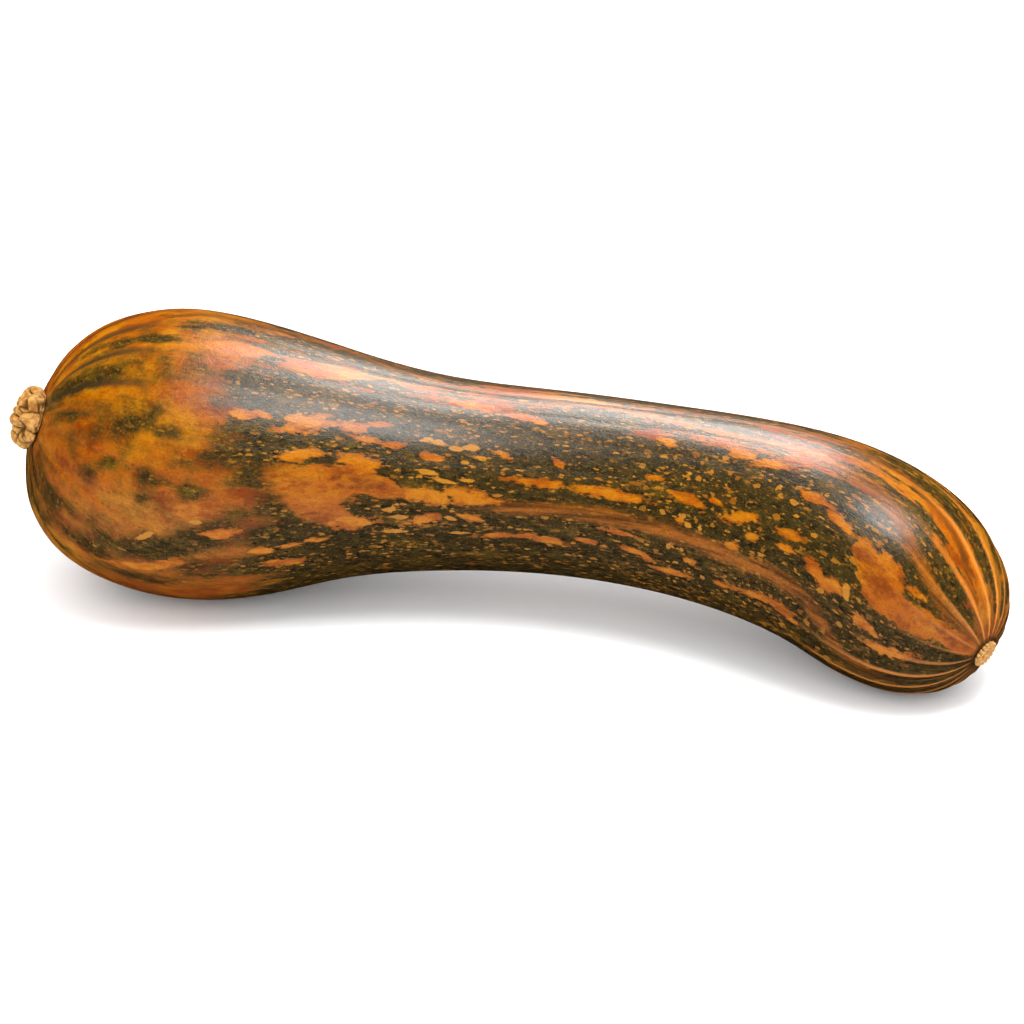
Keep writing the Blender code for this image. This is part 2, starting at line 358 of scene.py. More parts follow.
# %% Ragged orange streaks and blots with a clear edge
STREAKS = seen_strokes([
    (508, 480, 575, 487, 5), (575, 487, 645, 501, 6.5), (472, 536, 520, 534, 4), (510, 533, 568, 544, 5),
    (405, 494, 450, 497, 9), (440, 492, 500, 502, 8), (458, 406, 500, 410, 6), (500, 412, 547, 423, 5),
    (346, 462, 372, 466, 11), (332, 524, 370, 522, 9), (408, 521, 436, 518, 6), (459, 516, 482, 520, 4),
    (424, 456, 440, 457, 5), (494, 452, 513, 458, 3.5), (554, 461, 563, 468, 4.5), (596, 529, 632, 536, 3),
    (574, 538, 603, 545, 3.2), (624, 549, 651, 558, 4), (648, 476, 660, 478, 3), (230, 411, 252, 416, 6),
    (256, 411, 268, 416, 4), (286, 421, 330, 424, 8), (278, 429, 310, 431, 5), (278, 456, 318, 453, 6),
    (247, 552, 277, 549, 5), (280, 546, 301, 544, 3.5), (304, 542, 327, 539, 3.5), (263, 563, 300, 562, 5),
    (202, 537, 236, 533, 6), (102, 559, 190, 560, 7), (348, 427, 366, 427, 6.5), (368, 422, 390, 427, 4),
    (379, 444, 403, 446, 4), (359, 439, 373, 441, 3.4), (732, 451, 758, 460, 7), (758, 462, 790, 466, 6.5),
    (673, 494, 702, 505, 5.5), (711, 498, 719, 503, 4), (727, 516, 754, 521, 7), (648, 476, 659, 478, 3),
    (657, 439, 677, 446, 5), (783, 532, 798, 539, 4.5), (780, 544, 792, 551, 4.5), (747, 535, 757, 539, 4),
    (726, 543, 738, 547, 4.5), (677, 519, 683, 522, 4), (811, 566, 821, 578, 8), (821, 580, 835, 588, 8.5),
    (730, 586, 794, 613, 5.5), (777, 610, 795, 622, 5), (654, 568, 694, 577, 4), (714, 583, 727, 586, 3),
    (683, 558, 697, 565, 4), (640, 556, 652, 559, 5), (851, 615, 877, 636, 5.5), (868, 645, 909, 657, 7),
    (803, 493, 826, 505, 5.5), (830, 511, 848, 530, 5), (878, 552, 897, 576, 8), (909, 586, 925, 600, 3.5),
])

# %% Small clear flecks that stand out one by one
FLECKS = seen_strokes([
    (420, 471, 435, 475, 2.4), (433, 478, 454, 482, 2.2), (459, 480, 473, 482, 2), (450, 448, 461, 449, 3),
    (464, 446, 477, 448, 3), (434, 441, 443, 443, 2.7), (420, 439, 430, 440, 2.1),
    (461, 462, 469, 463, 2.3), (382, 510, 393, 509, 2.5), (394, 506, 399, 506, 2.2),
    (446, 518, 453, 519, 2.4), (392, 518, 404, 516, 2.6), (385, 532, 404, 532, 2.6),
    (450, 532, 467, 533, 1.9), (189, 523, 199, 524, 2.8), (139, 539, 153, 533, 3.4),
    (478, 458, 487, 459, 2.2), (846, 588, 847, 598, 3.6), (686, 525, 688, 526, 3), (699, 527, 701, 528, 3),
])

# %% Broad soft patches where the orange shows under the green
PATCHES = seen_strokes([
    (285, 482, 340, 490, 22), (300, 366, 352, 374, 10), (215, 346, 262, 352, 9), (862, 545, 872, 575, 11),
    (872, 575, 893, 605, 18), (895, 608, 935, 632, 14), (935, 632, 970, 648, 9), (345, 480, 400, 490, 12),
    (300, 500, 340, 515, 15), (180, 511, 195, 511, 6),
])

# %% Long soft bands that follow the ribs
BANDS = seen_strokes([
    (505, 507, 570, 511, 7), (570, 511, 640, 523, 8), (640, 524, 684, 537, 8), (684, 537, 738, 561, 8),
    (738, 561, 777, 576, 8), (777, 576, 806, 598, 9), (806, 598, 826, 630, 8), (826, 630, 843, 655, 7),
    (843, 655, 873, 674, 6), (560, 402, 640, 413, 3.6), (640, 414, 701, 428, 3.8), (701, 428, 750, 440, 4),
    (750, 440, 811, 454, 5), (811, 454, 848, 473, 6), (848, 473, 885, 500, 8), (885, 500, 909, 540, 8),
    (909, 540, 946, 608, 6), (946, 608, 975, 640, 4), (640, 404, 725, 419, 2.6), (725, 419, 797, 431, 2.6),
    (797, 431, 850, 446, 4), (850, 446, 886, 466, 5), (886, 466, 934, 505, 5), (934, 505, 965, 557, 5),
    (84, 350, 140, 326, 3.6), (140, 326, 225, 317, 4.4), (225, 317, 330, 345, 4.4), (965, 557, 981, 625, 4),
    (330, 345, 400, 371, 3.4), (400, 371, 470, 390, 3), (470, 390, 560, 401, 3),
])

# %% Green clouds over the orange bulb
GREEN_CLOUDS = seen_strokes([
    (50, 405, 90, 384, 7), (60, 420, 75, 417, 6), (82, 431, 98, 431, 8), (112, 432, 140, 422, 9),
    (42, 478, 54, 510, 9), (33, 461, 36, 480, 5), (72, 531, 212, 533, 15), (236, 536, 320, 531, 13),
    (195, 570, 282, 560, 13), (282, 560, 345, 548, 15), (96, 566, 174, 580, 9), (138, 479, 160, 479, 7),
    (103, 464, 110, 463, 7), (84, 472, 90, 473, 7), (210, 461, 224, 461, 8), (186, 494, 196, 493, 7),
    (258, 424, 270, 477, 20), (282, 464, 316, 466, 8), (320, 442, 345, 428, 12), (121, 342, 165, 340, 4.5),
    (195, 327, 245, 331, 3.5), (262, 377, 304, 377, 13), (238, 398, 258, 396, 8), (285, 392, 345, 400, 13),
])
# Weaker olive clouds between them.
OLIVE_CLOUDS = seen_strokes([
    (112, 372, 128, 376, 5), (143, 352, 156, 354, 5), (146, 402, 172, 408, 6), (208, 406, 224, 410, 6),
    (236, 402, 252, 400, 6), (164, 432, 178, 434, 5), (122, 464, 142, 466, 5), (172, 462, 188, 464, 5),
    (135, 496, 150, 497, 5), (70, 386, 84, 380, 5), (92, 360, 112, 352, 4.5), (60, 500, 76, 512, 6),
])
print(len(STREAKS), "streaks,", len(FLECKS), "flecks,", len(PATCHES), "patches,", len(BANDS), "band strokes")

# %% [markdown]
# The far side. The camera at rest doesn't see it, but the part is looked at from all round. The same kinds
# of stroke are drawn at random there, from a fixed seed, along the body and at most a little aslant.

# %% Seeded strokes on the far side
HIDDEN_FROM, HIDDEN_TO = math.radians(160), math.radians(330)
FAR_SEED = 11
SLANT = 0.03
far_draw = np.random.default_rng(FAR_SEED)


def far_strokes(count, near, far, length, half):
    """Strokes at random between two distances, each with its own length and half width."""
    start = far_draw.uniform(near, far, count)
    turn = far_draw.uniform(HIDDEN_FROM, HIDDEN_TO, count)
    run = far_draw.uniform(*length, count)
    lean = far_draw.normal(0, SLANT, count)
    wide = far_draw.uniform(*half, count)
    return list(zip(start, turn, start + run, turn + lean, wide))


STREAKS += far_strokes(46, near=130, far=540, length=(6, 40), half=(1.8, 4.2))
FLECKS += far_strokes(60, near=120, far=540, length=(3, 9), half=(1.2, 1.9))
PATCHES += far_strokes(9, near=150, far=530, length=(10, 45), half=(6, 12))
GREEN_CLOUDS += far_strokes(26, near=20, far=170, length=(6, 60), half=(3, 7))

FAR_BAND_LANES = np.radians([170, 196, 214, 247, 268, 301, 322])
FAR_BAND_LEAN = 0.02
for turn in FAR_BAND_LANES:
    start, end = far_draw.uniform([180, 420], [300, 560])
    BANDS.append((start, turn, end, turn + FAR_BAND_LEAN, far_draw.uniform(2, 4.5)))
print("with the far side:", len(STREAKS), "streaks and", len(FLECKS), "flecks")

# %% [markdown]
# Fields. A field is one number for each point of the skin, which says how much of something belongs there,
# and the material reads it by name. Painting them would work too, but a formula of the distance
# and the angle can be read and changed. In a call of smooth, the first number is where an effect starts
# and the second is where it is full.

# %% Field: the orange bulb, up to a wavy border that comes sooner on the low side
border = 20 * np.sin(2 * angle + 0.6) + 24 * smooth(1.9, 2.4, angle)
bulb = 1 - smooth(105, 185, distance + border)

# %% Field: how green the ground is, above 0 for green and below 0 for orange
NECK_GREEN, BULB_GREEN = 0.78, -0.31
CLOUD_GREEN, OLIVE_CLOUD_GREEN = 0.85, 0.42
PATCH_ORANGE, TOP_ORANGE_AND_LIGHT, STALK_END_ORANGE = 1.25, 0.5, 0.5
STALK_ORANGE_FADE = 70
from_stalk = LENGTH - distance
# Painted light: the top is made lighter and more orange, as if lit from above; partly the real orange of the
# top lanes.
top_light = smooth(0.75, 1, np.cos(angle + 0.15))
stalk_top = np.exp(-from_stalk / STALK_ORANGE_FADE) * smooth(0.2, 0.9, np.cos(angle - 0.1))
green = NECK_GREEN + (BULB_GREEN - NECK_GREEN) * bulb
green += CLOUD_GREEN * bulb * smooth(-1.1, 0.8, stroke_field(GREEN_CLOUDS, 1.3))
green += OLIVE_CLOUD_GREEN * bulb * smooth(-1.3, 0.8, stroke_field(OLIVE_CLOUDS, 1.5))
green -= PATCH_ORANGE * smooth(-0.5, 0.6, stroke_field(PATCHES))
# The top is painted more orange: partly its own orange, partly painted light from above.
green -= TOP_ORANGE_AND_LIGHT * top_light * (1 - bulb) + STALK_END_ORANGE * stalk_top

# %% Fields: where long stripes, pebble flecks and small flecks belong
upward = np.cos(angle)
stripy = 0.22 + 0.78 * np.maximum(smooth(0.78, 0.98, upward), smooth(0.3, 0.75, -upward))
stripy = np.maximum(stripy, np.exp(-from_stalk / 60))
stripy = np.maximum(stripy, 0.8 * np.exp(-distance / 30))
pebbly = smooth(330, 400, distance) * (1 - smooth(505, 545, distance)) * smooth(-0.2, 0.6, np.sin(angle))
flecked = (1 - 0.6 * bulb * smooth(0.5, 0, angle - 1.75)) * (1 - 0.75 * np.exp(-from_stalk / 38))

# %% Fields: the furrows and ridges, with painted shade in the furrows, and a painted shadow ring round the stalk scar
furrow_shade = blossom_share(distance, radius) * (0.12 + 0.88 * smooth(0.55, 0.95, np.cos(lane - 0.12)))
ridge_front = smooth(0.35, 0.95, np.cos(angle - 1.15))
ridge = rib_strength(lane) * np.exp(-from_stalk / 60) * (1 - 0.6 * ridge_front)
# A painted shadow ring on the skin round the stalk scar's seat.
rim = 0.8 * smooth(13, 9, radius) * (distance > LENGTH / 2)

# %% Coordinates that follow the skin, in metres, and all fields onto the mesh
# Patterns on straight run along the body, and on lanes they also follow each rib.
LANE_RADIUS = 60
straight = np.stack([distance, radius * np.cos(angle), radius * np.sin(angle)], -1) * MM
lanes = np.stack([distance, LANE_RADIUS * np.cos(lane), LANE_RADIUS * np.sin(lane)], -1) * MM
write_attribute(squash, "straight", straight, "FLOAT_VECTOR")
write_attribute(squash, "lanes", lanes, "FLOAT_VECTOR")

fields = {
    "green": green, "bulb": bulb, "top_light": top_light, "stripy": stripy, "pebbly": pebbly,
    "flecked": flecked, "rim": rim, "furrow_shade": furrow_shade, "ridge": ridge,
    "streak": stroke_field(STREAKS, 1.05) - 0.1,
    "speck": stroke_field(FLECKS, 1.1),
    "band": stroke_field(BANDS, 1.35),
}
for name, field in fields.items():
    write_attribute(squash, name, field)
print(len(fields), "fields")


# %% [markdown]
# Node helpers. A material here is a formula, so short functions write it: one adds a node with its
# settings and inputs, some do a step of arithmetic or mixing, and one starts a node group.

# %% Node helpers
def add(tree, kind, inputs=None, **settings):
    """Adds a node. An input given as a socket is linked, and anything else is set as its value."""
    made = tree.nodes.new("ShaderNode" + kind)
    for name, value in settings.items():
        setattr(made, name, value)
    for name, value in (inputs or {}).items():
        if isinstance(value, bpy.types.NodeSocket):
            tree.links.new(value, made.inputs[name])
        else:
            made.inputs[name].default_value = value
    return made


def calc(tree, operation, a, b=0.0, c=0.0):
    """One step of arithmetic on numbers or sockets."""
    return add(tree, "Math", {0: a, 1: b, 2: c}, operation=operation).outputs[0]


def blend(tree, share, a, b, blend_type="MIX"):
    """Colour a where share is 0 and b where it is 1. A Mix node has its colours in sockets 6 and 7."""
    return add(tree, "Mix", {0: share, 6: a, 7: b}, data_type="RGBA", blend_type=blend_type).outputs[2]


def ramp(tree, value, low, high):
    """0 at low, 1 at high, with a soft S between."""
    inputs = {"Value": value, "From Min": low, "From Max": high}
    return add(tree, "MapRange", inputs, interpolation_type="SMOOTHSTEP").outputs["Result"]


def sharpened(tree, value, contrast):
    """(value - 0.5) x contrast + 0.5."""
    return calc(tree, "MULTIPLY_ADD", calc(tree, "SUBTRACT", value, 0.5), contrast, 0.5)


def group(name, inputs, outputs):
    """A new node group of numbers. An input whose value is None is a vector."""
    tree = bpy.data.node_groups.new(name, "ShaderNodeTree")
    for socket, default in inputs.items():
        kind = "NodeSocketVector" if default is None else "NodeSocketFloat"
        made = tree.interface.new_socket(socket, in_out="INPUT", socket_type=kind)
        if default is not None:
            made.default_value = default
    for socket in outputs:
        tree.interface.new_socket(socket, in_out="OUTPUT", socket_type="NodeSocketFloat")
    return tree, tree.nodes.new("NodeGroupInput").outputs, tree.nodes.new("NodeGroupOutput").inputs


def use(tree, effect, inputs):
    """Places a node group in a material with its own values, and gives its outputs."""
    return add(tree, "Group", inputs, node_tree=effect).outputs


def srgb(red, green, blue):
    """A colour as a screen shows it, 0 to 255, turned into the linear light that shaders use."""
    return (*(((c / 255 + 0.055) / 1.055) ** 2.4 if c > 10 else c / 3295 for c in (red, green, blue)), 1)


# %% [markdown]
# Shared effects. Clouds are fractal noise with more contrast. Flecks are the middles of Voronoi cells, each
# with its own size, and only some of the cells have one. A ragged edge adds noise to a smooth field before
# cutting it. Fibres are fine noise, twisted a little.

# %% Effect: clouds
clouds, given, result = group(
    "clouds", {"Vector": None, "Scale": 20.0, "Detail": 4.0, "Contrast": 2.0}, ["Value"]
)
inputs = {"Vector": given["Vector"], "Scale": given["Scale"], "Detail": given["Detail"], "Roughness": 0.62}
cloud = add(clouds, "TexNoise", inputs).outputs[0]
clouds.links.new(sharpened(clouds, cloud, given["Contrast"]), result["Value"])

# %% Effect: flecks
flecks, given, result = group(
    "flecks", {"Vector": None, "Scale": 120.0, "Size": 0.4, "Share": 0.5, "Soft": 0.05}, ["Mask", "Tone"]
)
# The cells are warped by a finer noise, by up to half of this share of a cell each way.
WARP = 0.7
WARP_FINENESS = 2.2
finer = calc(flecks, "MULTIPLY", given["Scale"], WARP_FINENESS)
inputs = {"Vector": given["Vector"], "Scale": finer, "Detail": 2.0}
wobble = add(flecks, "TexNoise", inputs).outputs["Color"]
shift = add(flecks, "VectorMath", {0: wobble, 1: (0.5, 0.5, 0.5)}, operation="SUBTRACT").outputs[0]
inputs = {0: shift, "Scale": calc(flecks, "DIVIDE", WARP, given["Scale"])}
moved = add(flecks, "VectorMath", inputs, operation="SCALE").outputs[0]
warped = add(flecks, "VectorMath", {0: given["Vector"], 1: moved}).outputs[0]
cell = add(flecks, "TexVoronoi", {"Vector": warped, "Scale": given["Scale"]}).outputs
# A cell's random colour holds three lots: for its size, for whether it has a fleck, and for its tone.
SMALLEST = 0.35
lots = add(flecks, "SeparateColor", {"Color": cell["Color"]}).outputs
size = calc(flecks, "MULTIPLY_ADD", lots[0], 1 - SMALLEST, SMALLEST)
size = calc(flecks, "MULTIPLY", given["Size"], size)
inside = ramp(flecks, calc(flecks, "SUBTRACT", size, cell["Distance"]), 0.0, given["Soft"])
chosen = calc(flecks, "LESS_THAN", lots[1], given["Share"])
flecks.links.new(calc(flecks, "MULTIPLY", inside, chosen), result["Mask"])
flecks.links.new(lots[2], result["Tone"])

# %% Effect: ragged edge
ragged, given, result = group(
    "ragged_edge", {"Field": 0.0, "Vector": None, "Scale": 150.0, "Amount": 0.6, "Soft": 0.08}, ["Mask"]
)
inputs = {"Vector": given["Vector"], "Scale": given["Scale"], "Detail": 5.0, "Roughness": 0.6}
tear = calc(ragged, "SUBTRACT", add(ragged, "TexNoise", inputs).outputs[0], 0.5)
torn = calc(ragged, "MULTIPLY_ADD", tear, given["Amount"], given["Field"])
low = calc(ragged, "MULTIPLY", given["Soft"], -1.0)
ragged.links.new(ramp(ragged, torn, low, given["Soft"]), result["Mask"])

# %% Effect: fibres
fibres, given, result = group("fibres", {"Vector": None, "Scale": 500.0, "Contrast": 2.0}, ["Value"])
inputs = {
    "Vector": given["Vector"], "Scale": given["Scale"], "Detail": 3.0, "Roughness": 0.7, "Distortion": 1.2
}
strand = add(fibres, "TexNoise", inputs).outputs[0]
fibres.links.new(sharpened(fibres, strand, given["Contrast"]), result["Value"])


# %% [markdown]
# The skin. From the bottom up: orange flesh tones in clouds, the green ground over them, soft bands along
# the ribs, flecks in four sizes and pebble flecks, the ragged streaks, brown dots on the orange, then the
# pale ridges at the ends with painted shade in the furrows and in the hollows between the ridges, and a
# painted light that makes the top lighter. The wax on it is a soft sheen: middling roughness, broken up
# by the fibres, under a thin coat.

# %% The skin's coordinates and clouds
def material(name):
    """An empty material, its tree and its Principled BSDF."""
    made = bpy.data.materials.new(name)
    made.use_nodes = True
    return made, made.node_tree, made.node_tree.nodes["Principled BSDF"]


def attribute(tree, name, output="Fac"):
    """A field stored on the piece's points."""
    return add(tree, "Attribute", attribute_name=name).outputs[output]


skin, tree, surface = material("squash_skin")
straight_at = attribute(tree, "straight", "Vector")
lanes_at = attribute(tree, "lanes", "Vector")
at = {name: attribute(tree, name) for name in fields}
bulb_at = at["bulb"]


def drawn_out(place, along):
    """A coordinate on which a pattern comes out longer along the body, by 1 / along."""
    return add(tree, "VectorMath", {0: place, 1: (along, 1, 1)}, operation="MULTIPLY").outputs[0]


def pattern(effect, place, along, **inputs):
    """Clouds or fibres drawn out along the body."""
    return use(tree, effect, {"Vector": drawn_out(place, along)} | inputs)["Value"]


long_grain = drawn_out(straight_at, 0.42)
longer_grain = drawn_out(straight_at, 0.16)
broad = pattern(clouds, straight_at, 0.42, Scale=26, Detail=3, Contrast=2.4)
middle = pattern(clouds, straight_at, 0.42, Scale=90, Detail=5, Contrast=2.4)
fine = pattern(clouds, straight_at, 0.42, Scale=330, Detail=5, Contrast=2.6)
mottle = pattern(clouds, straight_at, 0.75, Scale=62, Detail=6, Contrast=3.2)
stripes = pattern(clouds, lanes_at, 0.07, Scale=85, Detail=4, Contrast=3.0)
threads = pattern(clouds, lanes_at, 0.05, Scale=300, Detail=3, Contrast=2.6)
grain = pattern(fibres, straight_at, 0.4, Scale=1000, Contrast=2.6)
scratches = pattern(fibres, straight_at, 0.5, Scale=420, Contrast=3.0)


# %% Sums and products in the skin's tree
def swing(value, by, middle_value=0.5):
    """(value - middle) x by: a signed change to add to a field."""
    return calc(tree, "MULTIPLY", calc(tree, "SUBTRACT", value, middle_value), by)


def plus(*values):
    """Sum of several numbers or sockets."""
    total = values[0]
    for value in values[1:]:
        total = calc(tree, "ADD", total, value)
    return total


def times(*values):
    """Product of several numbers or sockets."""
    total = values[0]
    for value in values[1:]:
        total = calc(tree, "MULTIPLY", total, value)
    return total


def less(value):
    """1 - value."""
    return calc(tree, "SUBTRACT", 1.0, value)


# %% Skin: the orange and the green
RUST, ORANGE, GOLD = srgb(138, 60, 3), srgb(184, 96, 2), srgb(200, 124, 6)
orange = blend(tree, ramp(tree, middle, 0.15, 0.65), RUST, ORANGE)
orange = blend(tree, ramp(tree, plus(broad, swing(fine, 0.35)), 0.3, 0.85), orange, GOLD)
orange = blend(tree, times(ramp(tree, fine, 0.3, 0.0), 0.5), orange, srgb(112, 54, 10))

INK, OLIVE, MOSS, STRAW = srgb(36, 31, 12), srgb(66, 52, 19), srgb(98, 74, 12), srgb(138, 104, 38)
green_tone = blend(tree, ramp(tree, fine, 0.05, 0.7), INK, OLIVE)
green_tone = blend(tree, ramp(tree, plus(middle, swing(fine, 0.5)), 0.55, 1.05), green_tone, MOSS)
green_tone = blend(tree, times(ramp(tree, grain, 0.62, 0.95), 0.55), green_tone, STRAW)

# %% Skin: the border between them, ragged on the neck and soft on the bulb
ground = plus(
    at["green"], swing(broad, 0.5), swing(middle, 0.75), swing(fine, 0.42),
    times(swing(stripes, 0.95, 0.55), at["stripy"]), swing(threads, 0.22),
    times(swing(mottle, 0.75), bulb_at),
)
softness = calc(tree, "MULTIPLY_ADD", bulb_at, 0.5, 0.13)
green_share = ramp(tree, ground, times(softness, -1.0), softness)
colour = blend(tree, green_share, orange, green_tone)

# %% Skin: bands along the ribs
BAND_DARK, BAND_PALE = srgb(104, 56, 10), srgb(186, 102, 12)
inputs = {
    "Field": at["band"], "Vector": longer_grain, "Scale": 420, "Amount": 2.2, "Soft": 0.5
}
band = use(tree, ragged, inputs)["Mask"]
band_tone = blend(tree, ramp(tree, plus(stripes, swing(threads, 0.9)), 0.1, 0.95), BAND_DARK, BAND_PALE)
colour = blend(tree, times(band, 0.8), colour, band_tone)

# %% Skin: flecks on the green, from the finest to the largest
FLECK, FLECK_DARK = srgb(198, 130, 34), srgb(142, 84, 16)
lane_rows = ramp(tree, plus(times(stripes, 0.6), times(middle, 0.5)), 0.25, 0.85)
off_band = times(less(times(band, 0.6)), at["flecked"])
# Each has a stretch, cells to the metre, size, least share of cells and what rows add, softness, strength.
FLECK_SIZES = [
    (0.45, 1150, 0.5, 0.3, 0.4, 0.3, 0.5),
    (0.36, 560, 0.5, 0.26, 0.55, 0.14, 0.95),
    (0.34, 380, 0.45, 0.12, 0.42, 0.12, 0.9),
    (0.38, 165, 0.36, 0.01, 0.16, 0.12, 0.8),
]


def fleck_layer(along, scale, size, share, soft):
    """The mask of one size of flecks, and their tone."""
    inputs = {"Vector": drawn_out(straight_at, along), "Scale": scale, "Size": size}
    made = use(tree, flecks, inputs | {"Share": share, "Soft": soft})
    return made["Mask"], blend(tree, made["Tone"], FLECK_DARK, FLECK)


for along, scale, size, least, most, soft, strength in FLECK_SIZES:
    share = calc(tree, "MULTIPLY_ADD", lane_rows, most, least)
    mask, tone = fleck_layer(along, scale, size, share, soft)
    colour = blend(tree, times(mask, green_share, off_band, strength), colour, tone)
mask, tone = fleck_layer(along=0.75, scale=215, size=0.46, share=0.5, soft=0.05)
colour = blend(tree, times(mask, green_share, at["pebbly"], off_band), colour, tone)

# %% Skin: streaks and blots with a clear edge and a darker rim
STREAK_DARK, STREAK_PALE, STREAK_RIM = srgb(172, 82, 4), srgb(208, 126, 8), srgb(142, 66, 8)
streak_at = plus(at["streak"], swing(fine, 0.5))
inputs = {"Field": streak_at, "Vector": long_grain, "Scale": 240, "Amount": 2.2, "Soft": 0.16}
streak = use(tree, ragged, inputs)["Mask"]
streak_tone = blend(tree, ramp(tree, plus(middle, swing(fine, 0.4)), 0.05, 0.8), STREAK_DARK, STREAK_PALE)
streak_tone = blend(tree, times(ramp(tree, streak_at, 0.4, -0.1), 0.6), streak_tone, STREAK_RIM)
colour = blend(tree, streak, colour, streak_tone)

inputs = {
    "Field": at["speck"], "Vector": long_grain, "Scale": 420, "Amount": 1.5, "Soft": 0.16
}
colour = blend(tree, use(tree, ragged, inputs)["Mask"], colour, FLECK)

# %% Skin: brown dots on the orange
DOT = srgb(98, 46, 8)
inputs = {"Vector": straight_at, "Scale": 170, "Size": 0.34, "Share": 0.3, "Soft": 0.3}
dots = use(tree, flecks, inputs)["Mask"]
colour = blend(tree, times(dots, less(green_share), 0.55), colour, DOT)

# %% Skin: pale ridges, painted shade in the hollows between them and in the furrows, and a painted shadow ring
RIDGE, RIDGE_HOLLOW_SHADE, FURROW_SHADE, SCAR_RING_SHADE = srgb(222, 134, 52), srgb(52, 40, 18), srgb(64, 50, 28), srgb(58, 40, 20)
lane_axes = add(tree, "SeparateXYZ", {0: lanes_at}).outputs
half_ribs = times(calc(tree, "ARCTAN2", lane_axes[2], lane_axes[1]), RIBS / 2)
swell = calc(tree, "ABSOLUTE", calc(tree, "SINE", half_ribs))
hollow = calc(tree, "ABSOLUTE", calc(tree, "COSINE", half_ribs))
ridge_at = at["ridge"]
pale = times(ramp(tree, swell, 0.5, 0.08), ramp(tree, ridge_at, 0.06, 0.32), ramp(tree, threads, 0.0, 0.4))
fine_pale = times(ramp(tree, hollow, 0.3, 0.06), ramp(tree, ridge_at, 0.3, 0.8), 0.6)
colour = blend(tree, times(plus(pale, fine_pale), 0.85), colour, RIDGE)
# Painted shade in the broad hollows between the ridges at the stalk end.
ridge_hollow_shade = times(ramp(tree, swell, 0.6, 0.85), ramp(tree, ridge_at, 0.16, 0.55), 0.42)
colour = blend(tree, ridge_hollow_shade, colour, RIDGE_HOLLOW_SHADE)
# Painted shade in the furrows at the blossom end.
furrow_shade_mask = times(ramp(tree, swell, 0.62, 0.05), ramp(tree, at["furrow_shade"], 0.1, 0.5), 0.85)
colour = blend(tree, furrow_shade_mask, colour, FURROW_SHADE)
# The painted shadow ring round the stalk scar.
colour = blend(tree, at["rim"], colour, SCAR_RING_SHADE)

# %% Skin: how light it is, less between the fibres, with painted light that makes the top lighter
tone_and_top_light = plus(times(ramp(tree, grain, 0.0, 1.0), 0.22), times(at["top_light"], 0.2))
tone_and_top_light = plus(tone_and_top_light, times(bulb_at, 0.06), 0.45)
grey = add(tree, "CombineColor", {0: tone_and_top_light, 1: tone_and_top_light, 2: tone_and_top_light}).outputs[0]
colour = blend(tree, 1.0, colour, grey, "MULTIPLY")
tree.links.new(colour, surface.inputs["Base Color"])

# %% Skin: shine and relief
rough = plus(times(grain, 0.14), times(scratches, 0.10), times(green_share, -0.04), 0.26)
tree.links.new(rough, surface.inputs["Roughness"])
height = plus(times(grain, 0.4), times(scratches, 0.8), times(middle, 1.6), times(streak, 0.4))
bump = add(tree, "Bump", {"Height": height, "Strength": 0.3, "Distance": 0.5 * MM})
tree.links.new(bump.outputs["Normal"], surface.inputs["Normal"])
for name, value in (("Specular IOR Level", 0.42), ("Coat Weight", 0.3), ("Coat Roughness", 0.25)):
    surface.inputs[name].default_value = value
squash.data.materials.append(skin)
print("skin material:", len(tree.nodes), "nodes")

# %% [markdown]
# The blossom scar, the corky knob on the bulb. It is a low dome of round lobes that press on each other and
# leave creases. It could be sculpted, but here each lobe lifts the dome by how near its middle is, so
# creases come by themselves where two are equally near. Winding folds and a few hollows are added.

# %% The knob's dimensions, in millimetres
# The gap that keeps each scar off its seat.
GAP = 0.3
# The dome, as (height above its seat, radius).
CORK_PROFILE = [(0, 16), (2.5, 16.6), (6, 15), (9, 11.5), (11, 6), (11.5, 1.5)]
# Its lobes, as (height above its seat, distance from its axis, degrees from its top, size).
LOBES = [
    (7, 13, 22, 9), (11, 8, 45, 7), (6, 15, 75, 8), (11, 6, 100, 7), (5, 15, 104, 6), (4, 14, 132, 7),
    (8, 12, 155, 8), (6, 14, 200, 9), (9, 9, 235, 8), (5, 15, 262, 8), (7, 14, 310, 9), (12, 3, 320, 7),
]
LOBE_HEIGHT = 4.5
CORK_RIM_LIFT = 0.35
# A lobe's reach in its own sizes, where it is free of the seat, and the crown's rise over the last ring.
LOBE_REACH = 1.1
FREE_HEIGHT = 2
CROWN_RISE = 0.3
# A crease is where two lobes are this nearly as near, in their own sizes.
CREASE_WIDTH = 0.28
CREASE_DEPTH = 0.8
# The winding folds' height, and the spacing, turn and share of the broad and the narrow ones.
CORK_FOLD_HEIGHT = 1.5
CORK_FOLDS = [(3.8, 0.7, 1), (1.9, 2.9, 0.5)]
# How far the lobes are twisted out of round, and in waves of what length.
TWIST = 2.4
TWIST_LENGTH = 5.5
# Hollows in the seen side of the knob, as (column, row, size, depth), the first two in pixels.
HOLLOWS = [
    (28, 408, 4.0, 3.0), (24, 426, 4.2, 3.0), (39, 434, 3.0, 2.0), (41, 399, 2.8, 1.8), (33, 446, 2.8, 1.6)
]
# The depth of a hollow whose painted shade is as dark as a crease's.
HOLLOW_SHADE_DEPTH = 2.4


# %% Shapes that both scars use
def standing(seat, outward, top, side, height, across, angle):
    """Seat + (gap + height) x outward + across x (cos angle x top + sin angle x side)."""
    spoke = np.cos(angle)[..., None] * top + np.sin(angle)[..., None] * side
    return seat + (GAP + height)[..., None] * outward + across[..., None] * spoke


